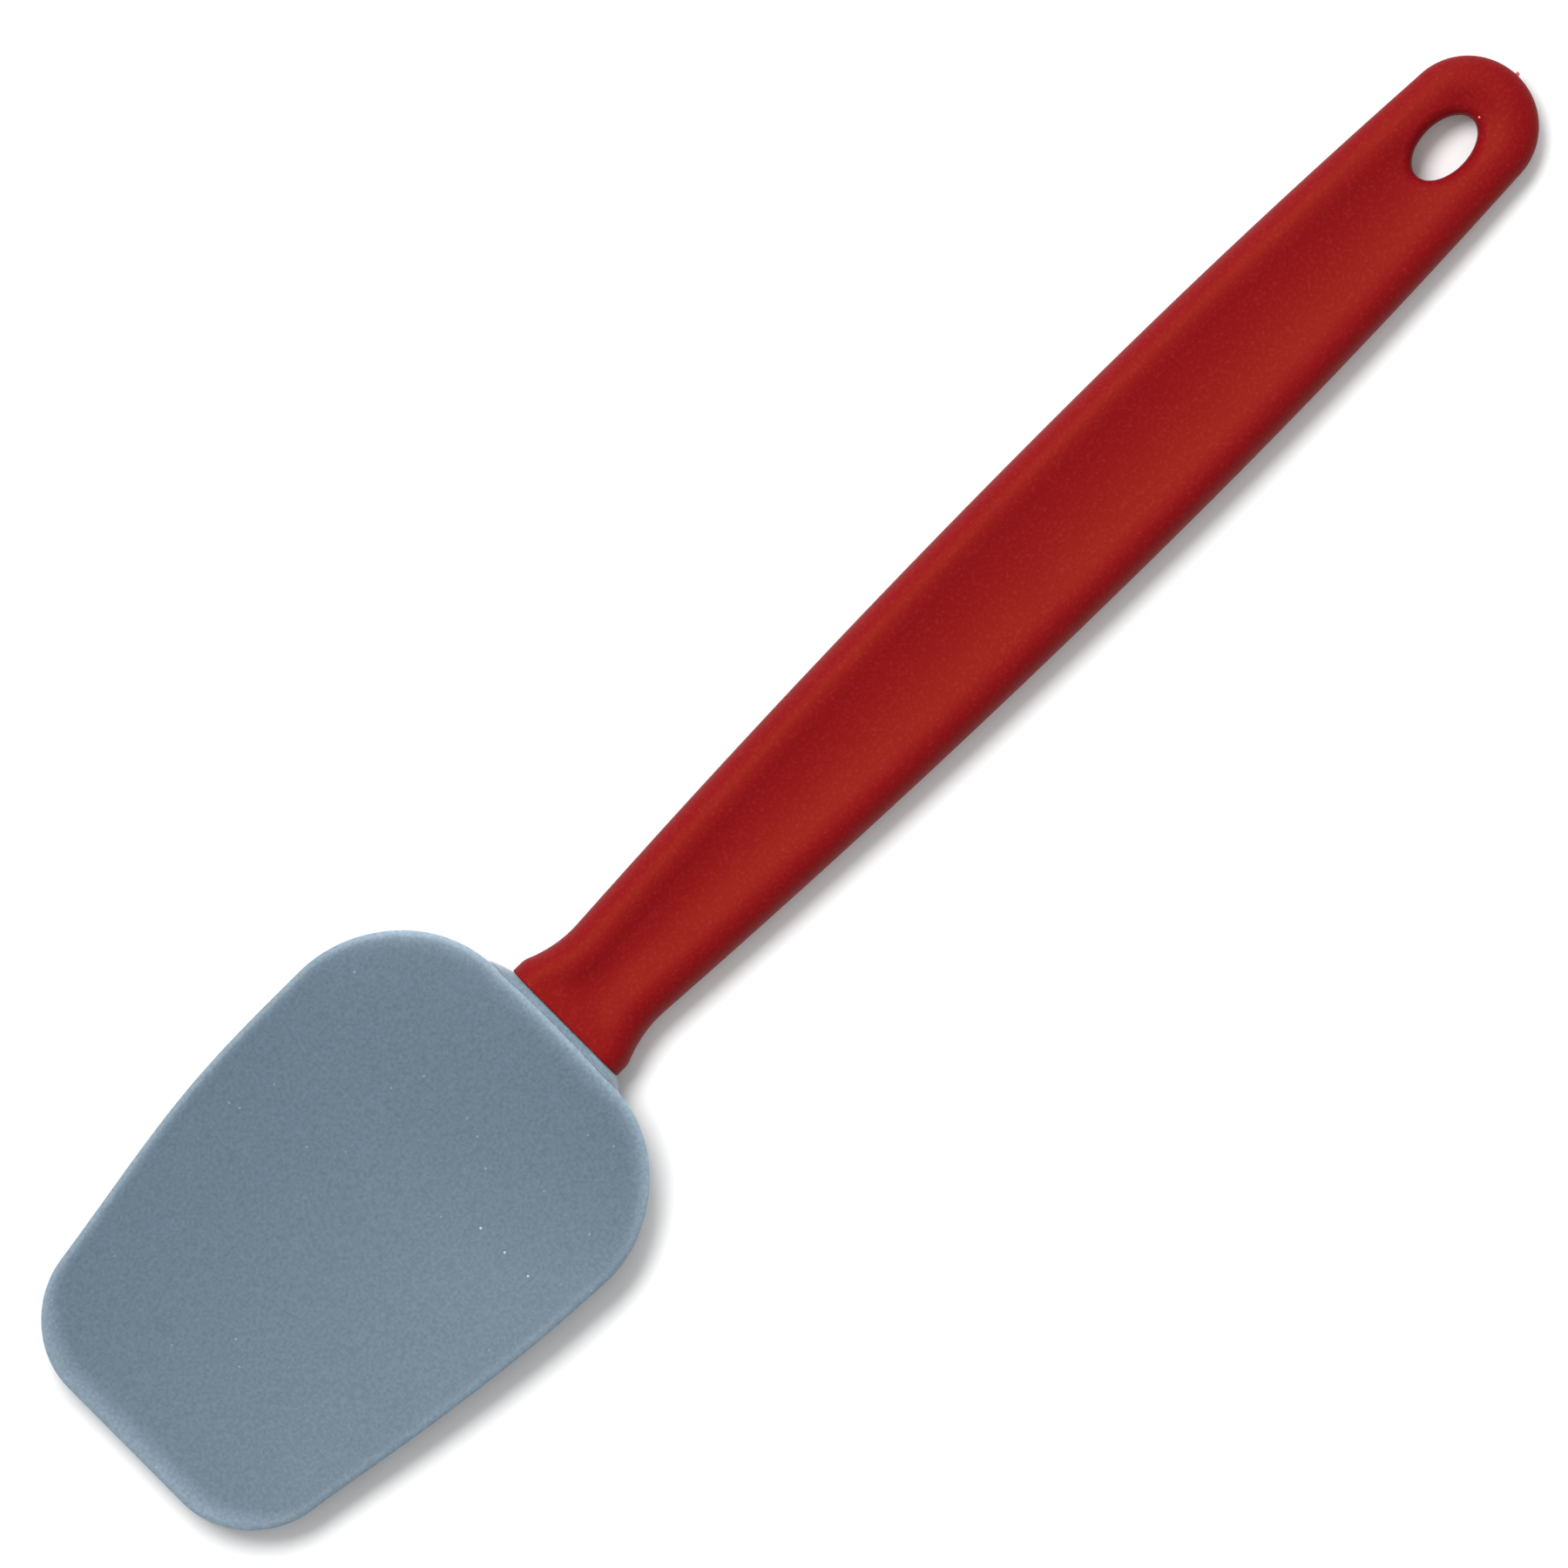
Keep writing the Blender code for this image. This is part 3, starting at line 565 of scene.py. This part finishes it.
def gateMesh():
    # the torn stub of the plastic's inlet, at the parting line on the handle's end
    bm = bmesh.new()
    radius = handle["gateSize"] / 2
    stub = bmesh.ops.create_cone(bm, cap_ends=True, segments=handle["gateSides"],
                                 depth=2 * handle["gateLength"], radius1=radius,
                                 radius2=radius * handle["gateTaper"])["verts"]
    for vert in stub:
        vert.co.z += handle["gateTear"] * vert.co.y if vert.co.z > 0 else 0.0
    bmesh.ops.rotate(bm, verts=stub, matrix=Matrix.Rotation(math.pi / 2, 3, "Y"))
    bmesh.ops.translate(bm, verts=stub, vec=(endX, handle["gateAside"],
                                             (handle["endTop"] + handle["endBase"]) / 2))
    return bm


def buildHandle():
    piece = makeObject("handle_grip_visual", handleMesh())
    carve(piece, holeMesh(), "DIFFERENCE")
    carve(piece, tangSlotMesh(), "DIFFERENCE")
    carve(piece, gateMesh(), "UNION")
    x, y = handle["pip"]
    pastHole = handle["length"] - handle["holeFromEnd"] + handle["holeLength"] / 2
    sunk = roundDrop(handle["holeRound"], x - pastHole)
    places = [(collarX + x, y, handleFront(x, y) - sunk)]
    carve(piece, pipMesh(places, handle["pipSize"]), "UNION")
    markPips(piece, places, handle["pipSize"])
    finishPiece(piece, makeRedNylon(), "handle", "handle_grip")


# Silicone head: x runs from its tip, z from the table

head = {
    # outline, and how far it sits aside
    "length": 0.0831, "tipWidth": 0.0461, "rearWidth": 0.0622, "tipCorner": 0.0130, "rearCorner": 0.0172,
    "sideBow": 0.0022, "rearBow": 0.0017, "rearBowFrom": 0.040,
    "leanTip": 0.0014, "leanRear": 0.0007, "leanFrom": 0.035, "leanTo": 0.070,
    # dish, wall and rim
    "floor": 0.0042, "lowestAt": 0.0520, "tipRise": 0.0006, "rimLevel": 0.0072, "rearRise": 0.0047,
    "rearPower": 1.6, "rimWall": 0.0020, "tipWall": 0.0010, "wall": 0.0024, "thinning": 0.0034,
    "rimRound": 0.0010, "rimDrop": 0.0006, "tipDrop": 0.0005, "backRound": 0.0004,
    # spine, flare and mouth
    "noseAt": 0.0140, "noseWidth": 0.0090, "noseDepth": 0.0018, "spineFrontAt": 0.0340,
    "spineFrontWidth": 0.0200, "spineLevelAt": 0.0720, "spineCover": 0.0006, "spineFlare": 0.0033,
    "flareReach": 0.0010, "flareInset": 0.0028, "mouthLength": 0.00105, "mouthRound": 0.0002,
    "shoulderRise": 0.0005,
    # how much painted light each edge gets (a painted glow at the tip, painted highlights on the sides, rear
    # crest and shoulder), and how far in it fades
    "tipPaintedGlow": 0.52, "sidePaintedHighlight": 0.36, "mouthPaintedHighlight": 0.35, "tipFade": 0.0048, "rimFade": 0.0019,
    "rearFade": 0.0050, "mouthFade": 0.001, "rearHighlightFrom": 0.064, "rearHighlightFull": 0.079,
    # fineness of the mesh: the dish, then the points round the spine and the stations along it
    "cornerSteps": 20, "sideStep": 0.0014, "rimSteps": 8,
    "ringInsets": [0.0016, 0.0020, 0.0025, 0.0031, 0.0038],
    "gridStep": 0.0011, "gridFrom": 0.0045, "gridTo": 0.0790, "gridSide": 0.0290,
    "spinePoints": 96, "roundSteps": 4, "mouthSteps": 6, "spineSteps": 60, "noseSteps": 34,
    # the fillet between the spine and the dish's back, and the vent pips
    "creaseMerge": 0.00002, "creaseAngle": 22, "creaseReach": 0.0019, "creaseRounds": 14,
    "creaseStop": 0.002,
    "pips": ((0.0560, -0.0119), (0.0560, -0.0166), (0.0560, -0.0212)), "pipSize": 0.00036,
}
mouthAt = head["length"] + head["mouthLength"]


def askew(x):
    # the soft head sits a little to one side of its core
    return mix(head["leanTip"], head["leanRear"], ease(head["leanFrom"], head["leanTo"], x))


def floorHeight(x, y):
    # the dish's upper face, which rises from its lowest place to the tip, the rear and both sides
    towardsTip = max(head["lowestAt"] - x, 0.0) / head["lowestAt"]
    towardsRear = max(x - head["lowestAt"], 0.0) / (head["length"] - head["lowestAt"])
    middle = head["floor"] + head["tipRise"] * towardsTip ** 2
    middle += head["rearRise"] * towardsRear ** head["rearPower"]
    return mix(middle, head["rimLevel"], (y / (head["rearWidth"] / 2)) ** 2)


def dishFront(x, y, inset):
    # inset is the distance in from the dish's outline
    drop = mix(head["tipDrop"], head["rimDrop"], ease(0.0, head["tipCorner"], x))
    return floorHeight(x, y) - drop * (1.0 - quarterRound(inset / head["rimRound"]))


def dishBack(x, y, inset):
    # a wall that is thin at the edge and thickens inwards
    edge = mix(head["tipWall"], head["rimWall"], ease(0.0, head["tipCorner"], x))
    wall = mix(edge, head["wall"], ease(0.0, head["thinning"], inset - head["backRound"]))
    return floorHeight(x, y) - wall + roundDrop(head["backRound"], inset)


def outlineSheet(bm):
    # four corners, rounded, with close points along the sides, then the sides and the rear bowed
    for vert in bmesh.ops.create_grid(bm, x_segments=1, y_segments=1, size=0.5)["verts"]:
        atTip = vert.co.x < 0
        width = head["tipWidth"] if atTip else head["rearWidth"]
        vert.co = (0.0 if atTip else head["length"], math.copysign(width / 2, vert.co.y), 0.0)
    taper = math.atan((head["rearWidth"] - head["tipWidth"]) / 2 / head["length"])
    for x, radius, half in ((0.0, head["tipCorner"], (math.pi / 2 + taper) / 2),
                            (head["length"], head["rearCorner"], (math.pi / 2 - taper) / 2)):
        corners = [vert for vert in bm.verts if abs(vert.co.x - x) < 1e-6]
        bmesh.ops.bevel(bm, geom=corners, offset=radius / math.tan(half), offset_type="OFFSET",
                        affect="VERTICES", segments=head["cornerSteps"], profile=0.5, material=-1)
    for edge in list(bm.edges):
        if edge.calc_length() > 4 * head["sideStep"]:
            bmesh.ops.subdivide_edges(bm, edges=[edge], cuts=int(edge.calc_length() / head["sideStep"]))
    for vert in bm.verts:
        bow = head["sideBow"] * math.sin(math.pi * vert.co.x / head["length"]) ** 2
        vert.co.y *= 1 + bow / (head["rearWidth"] / 2)
        aside = vert.co.y / (head["rearWidth"] / 2)
        vert.co.x -= head["rearBow"] * aside ** 2 * ease(head["rearBowFrom"], head["length"], vert.co.x)


def ringSheet(bm, middle, insetLayer):
    # rings inwards from the rim, whose points remember how far in they are
    insets = arcSteps(0.0, head["rimRound"], head["rimSteps"]) + head["ringInsets"]
    for before, after in zip(insets, insets[1:]):
        bmesh.ops.inset_region(bm, faces=[middle], thickness=after - before, use_boundary=True,
                               use_even_offset=True)
        for vert in middle.verts:
            vert[insetLayer] = after


def gridSheet(bm, inside):
    # cuts the face inside the last ring into small squares
    for axis, low, high in ((Vector((1, 0, 0)), head["gridFrom"], head["gridTo"]),
                            (Vector((0, 1, 0)), -head["gridSide"], head["gridSide"])):
        for place in evenSteps(low, high, round((high - low) / head["gridStep"])):
            faces = [face for face in bm.faces if face[inside]]
            edges = dict.fromkeys(edge for face in faces for edge in face.edges)
            verts = dict.fromkeys(vert for face in faces for vert in face.verts)
            bmesh.ops.bisect_plane(bm, geom=[*verts, *edges, *faces], dist=1e-6,
                                   plane_co=axis * place, plane_no=axis)


def paintDishLight(x, inset):
    # painted light: a soft painted glow along the tip, a soft painted highlight along the sides, and a sharp
    # painted highlight on the rear crest
    pastTip = ease(0.0, head["tipCorner"], x)
    soft = 1.0 - ease(0.0, mix(head["tipFade"], head["rimFade"], pastTip), inset)
    sharp = max(1.0 - inset / head["rearFade"], 0.0) ** 4
    return mix(mix(head["tipPaintedGlow"], head["sidePaintedHighlight"], pastTip) * soft, sharp,
               ease(head["rearHighlightFrom"], head["rearHighlightFull"], x))


def dishMesh():
    # the flat sheet and its copy, raised to the front's and the back's heights and joined at the rim
    bm = bmesh.new()
    inside = bm.faces.layers.int.new("inside")
    insetLayer = bm.verts.layers.float.new("inset")
    outlineSheet(bm)
    middle = bm.faces[:][0]
    ringSheet(bm, middle, insetLayer)
    middle[inside] = 1
    gridSheet(bm, inside)
    # each point's share of painted edge light: painted glow and painted highlight
    thinness = bm.verts.layers.float.new("thinness")
    for vert in bm.verts:
        vert[thinness] = paintDishLight(vert.co.x, vert[insetLayer])
    front = list(bm.verts)
    copied = bmesh.ops.duplicate(bm, geom=[*bm.verts, *bm.edges, *bm.faces])["geom"]
    back = [part for part in copied if isinstance(part, bmesh.types.BMVert)]
    for verts, surface in ((front, dishFront), (back, dishBack)):
        for vert in verts:
            vert.co.z = surface(vert.co.x, vert.co.y, vert[insetLayer])
    bmesh.ops.reverse_faces(bm, faces=[part for part in copied if isinstance(part, bmesh.types.BMFace)])
    bmesh.ops.bridge_loops(bm, edges=[edge for edge in bm.edges if edge.is_boundary])
    for vert in bm.verts:
        vert.co.y += askew(vert.co.x)
    bmesh.ops.translate(bm, verts=bm.verts, vec=(tipX, 0, 0))
    return bm


def spineHalfWidth(x):
    # a round nose, a slow widening, then a flare that closes on the handle's collar at the mouth
    collar = handle["collarWidth"] / 2
    flareAt = head["length"] - head["flareReach"]
    if x > flareAt:
        past = min((x - flareAt) / (head["flareReach"] + head["mouthLength"]), 1.0)
        return collar + head["spineFlare"] * (1.0 - past ** 1.5)
    if x > head["spineFrontAt"]:
        share = (x - head["spineFrontAt"]) / (flareAt - head["spineFrontAt"])
        return mix(head["spineFrontWidth"] / 2, collar + head["spineFlare"], share)
    share = (x - head["noseAt"]) / (head["spineFrontAt"] - head["noseAt"])
    return mix(head["noseWidth"], head["spineFrontWidth"], quarterRound(share)) / 2


def spineParting(x):
    # the height at which the spine's front and back meet
    shell = floorHeight(x, 0.0) - head["wall"] / 2
    collar = (handle["collarTop"] + handle["collarBase"]) / 2
    return mix(shell, collar, ease(head["noseAt"], head["spineFrontAt"], x))


def spineTop(x):
    # stays under the dish's floor, then stands clear as the shoulder behind the dish
    shoulder = handle["collarTop"] + head["shoulderRise"] * min((mouthAt - x) / head["mouthLength"], 1.0)
    if x > head["length"] - head["rimRound"]:
        return shoulder
    return min(shoulder, floorHeight(x, 0.0) - head["spineCover"])


def spineBase(x):
    # slopes down from the nose, lies on the table, and lifts a little to the collar
    if x > head["spineLevelAt"]:
        share = (x - head["spineLevelAt"]) / (mouthAt - head["spineLevelAt"])
        return handle["collarBase"] * share ** 2
    nose = floorHeight(head["noseAt"], 0.0) - head["noseDepth"]
    share = max(head["spineFrontAt"] - x, 0.0) / (head["spineFrontAt"] - head["noseAt"])
    return nose * share ** 2


def spineMesh():
    # the section drawn from the mouth to the nose, with its stations close at both ends
    rounding = head["mouthRound"]
    stations = [(mouthAt - inset, roundDrop(rounding, inset))
                for inset in arcSteps(0.0, rounding, head["roundSteps"])]
    stations += [(x, 0.0) for x in evenSteps(mouthAt - rounding, head["length"], head["mouthSteps"])[1:]]
    stations += [(x, 0.0) for x in evenSteps(head["length"], head["spineFrontAt"], head["spineSteps"])[1:]]
    reach = head["spineFrontAt"] - head["noseAt"]
    stations += [(head["noseAt"] + reach * (1 - math.cos(turn)), 0.0)
                 for turn in evenSteps(math.pi / 2, 0.0, head["noseSteps"])[1:]]

    def place(station, turn):
        x, shrink = station
        width = spineHalfWidth(x)
        past = min(max((x - head["length"]) / head["mouthLength"], 0.0), 1.0)
        rim = mix(head["flareInset"], handle["rimInset"], past)
        land = min(handle["landWidth"] / 2, width / 2)
        y, isFront = sectionPoint(turn, width, max(width - rim, width / 2), land)
        parting = spineParting(x)
        if isFront:
            z = mix(parting, spineTop(x), quarterRound((width - abs(y)) / rim))
        else:
            z = mix(parting, spineBase(x), quarterRound((width - abs(y)) / (width - land)))
        y, z = shrinkTowards(y, z, parting, shrink)
        return Vector((tipX + x, y + askew(x) * (1.0 - past), z))

    bm, mouthEdges, noseEdges = drawOut(head["spinePoints"], stations, place)
    bmesh.ops.holes_fill(bm, edges=mouthEdges + noseEdges)
    # a painted highlight on the shoulder next to the mouth
    thinness = bm.verts.layers.float.new("thinness")
    for vert in bm.verts:
        nearMouth = ease(head["length"] - head["mouthFade"], head["length"], vert.co.x - tipX)
        vert[thinness] = head["mouthPaintedHighlight"] * nearMouth
    return bm


def softenCrease(piece):
    # the fillet where the spine grows out of the dish's back: the crease and what is near it relax
    bm = bmesh.new()
    bm.from_mesh(piece.data)
    # a carved mesh lists its points in no fixed order, so they are sorted before near ones are merged
    for rank, vert in enumerate(sorted(bm.verts, key=lambda vert: tuple(vert.co))):
        vert.index = rank
    bm.verts.sort()
    bmesh.ops.remove_doubles(bm, verts=bm.verts, dist=head["creaseMerge"])
    hollow = -math.radians(head["creaseAngle"])
    folds = [edge for edge in bm.edges
             if len(edge.link_faces) == 2 and edge.calc_face_angle_signed(0.0) < hollow]
    crease = dict.fromkeys(vert for edge in folds for vert in edge.verts)
    tree = kdtree.KDTree(len(crease))
    for number, vert in enumerate(crease):
        tree.insert(vert.co, number)
    tree.balance()
    near = [vert for vert in bm.verts if tree.find(vert.co)[2] < head["creaseReach"]
            and vert.co.x < tipX + head["length"] - head["creaseStop"]]
    faces = dict.fromkeys(face for vert in near for face in vert.link_faces)
    bmesh.ops.triangulate(bm, faces=list(faces))
    for _ in range(head["creaseRounds"]):
        bmesh.ops.smooth_vert(bm, verts=near, factor=0.5, use_axis_x=True, use_axis_y=True, use_axis_z=True)
    bm.to_mesh(piece.data)
    bm.free()


def buildHead():
    piece = makeObject("silicone_head_visual", dishMesh())
    carve(piece, spineMesh(), "UNION")
    softenCrease(piece)
    carve(piece, tongueSlotMesh(), "DIFFERENCE")
    places = [(tipX + x, y, floorHeight(x, y - askew(x))) for x, y in head["pips"]]
    carve(piece, pipMesh(places, head["pipSize"]), "UNION")
    markPips(piece, places, head["pipSize"])
    finishPiece(piece, makeSilicone(), "head", "silicone_head")


buildHead()
buildHandle()
finishCore()


# Table, light and camera

studio = {
    "floorSize": 3.0, "cameraHeight": 2.5, "planeHeight": 0.008, "frameWidth": 0.2164, "sensor": 36.0,
    "aimX": -0.0060, "aimY": 0.00213, "turn": -44.80, "skyLow": 0.22, "skyHigh": 0.93,
    # each lamp: azimuth, angle from the vertical, distance, width, height, power
    "soft_box": (87.0, 31.0, 1.3, 0.95, 0.54, 17.8), "low_window": (48.0, 60.0, 1.3, 0.8, 0.8, 6.0),
}


def layTable():
    bm = bmesh.new()
    bmesh.ops.create_grid(bm, x_segments=1, y_segments=1, size=studio["floorSize"] / 2)
    floor = makeObject("table_paper", bm)
    floor.data.materials.append(makeTablePaper())


def hangLamp(name):
    azimuth, tilt, distance, width, height, power = studio[name]
    azimuth, tilt = math.radians(azimuth), math.radians(tilt)
    towards = Vector((math.sin(tilt) * math.cos(azimuth), math.sin(tilt) * math.sin(azimuth),
                      math.cos(tilt)))
    light = bpy.data.lights.new(name, "AREA")
    light.shape = "ELLIPSE"
    light.size = width
    light.size_y = height
    light.energy = power
    lamp = bpy.data.objects.new(name, light)
    lamp.location = towards * distance
    lamp.rotation_euler = towards.to_track_quat("Z", "Y").to_euler()
    bpy.context.scene.collection.objects.link(lamp)


def lightRoom():
    # a white ceiling over darker walls
    world = bpy.data.worlds.new("studio_room")
    world.use_nodes = True
    tree = world.node_tree
    direction = addNode(tree, "ShaderNodeTexCoord").outputs["Generated"]
    height = addNode(tree, "ShaderNodeSeparateXYZ", links={"Vector": direction}).outputs["Z"]
    glow = addNode(tree, "ShaderNodeMapRange", {"To Min": studio["skyLow"], "To Max": studio["skyHigh"]},
                   {"Value": height})
    background = tree.nodes["Background"]
    tree.links.new(glow.outputs["Result"], background.inputs["Strength"])
    background.inputs["Color"].default_value = (1.0, 1.0, 1.0, 1.0)
    bpy.context.scene.world = world
    bpy.context.scene.view_settings.view_transform = "Standard"  # lets the paper burn out to white


def aimCamera():
    # straight down, with the frame's width measured at planeHeight, near the spoon's top
    lens = bpy.data.cameras.new("overhead")
    lens.sensor_width = studio["sensor"]
    lens.lens = studio["sensor"] * studio["cameraHeight"] / studio["frameWidth"]
    lens.clip_start = 0.01
    camera = bpy.data.objects.new("overhead", lens)
    camera.location = (studio["aimX"], studio["aimY"], studio["cameraHeight"] + studio["planeHeight"])
    camera.rotation_euler = (0.0, 0.0, math.radians(studio["turn"]))
    bpy.context.scene.collection.objects.link(camera)
    bpy.context.scene.camera = camera


layTable()
hangLamp("soft_box")
hangLamp("low_window")
lightRoom()
aimCamera()
print("studio: floor, light and camera set")
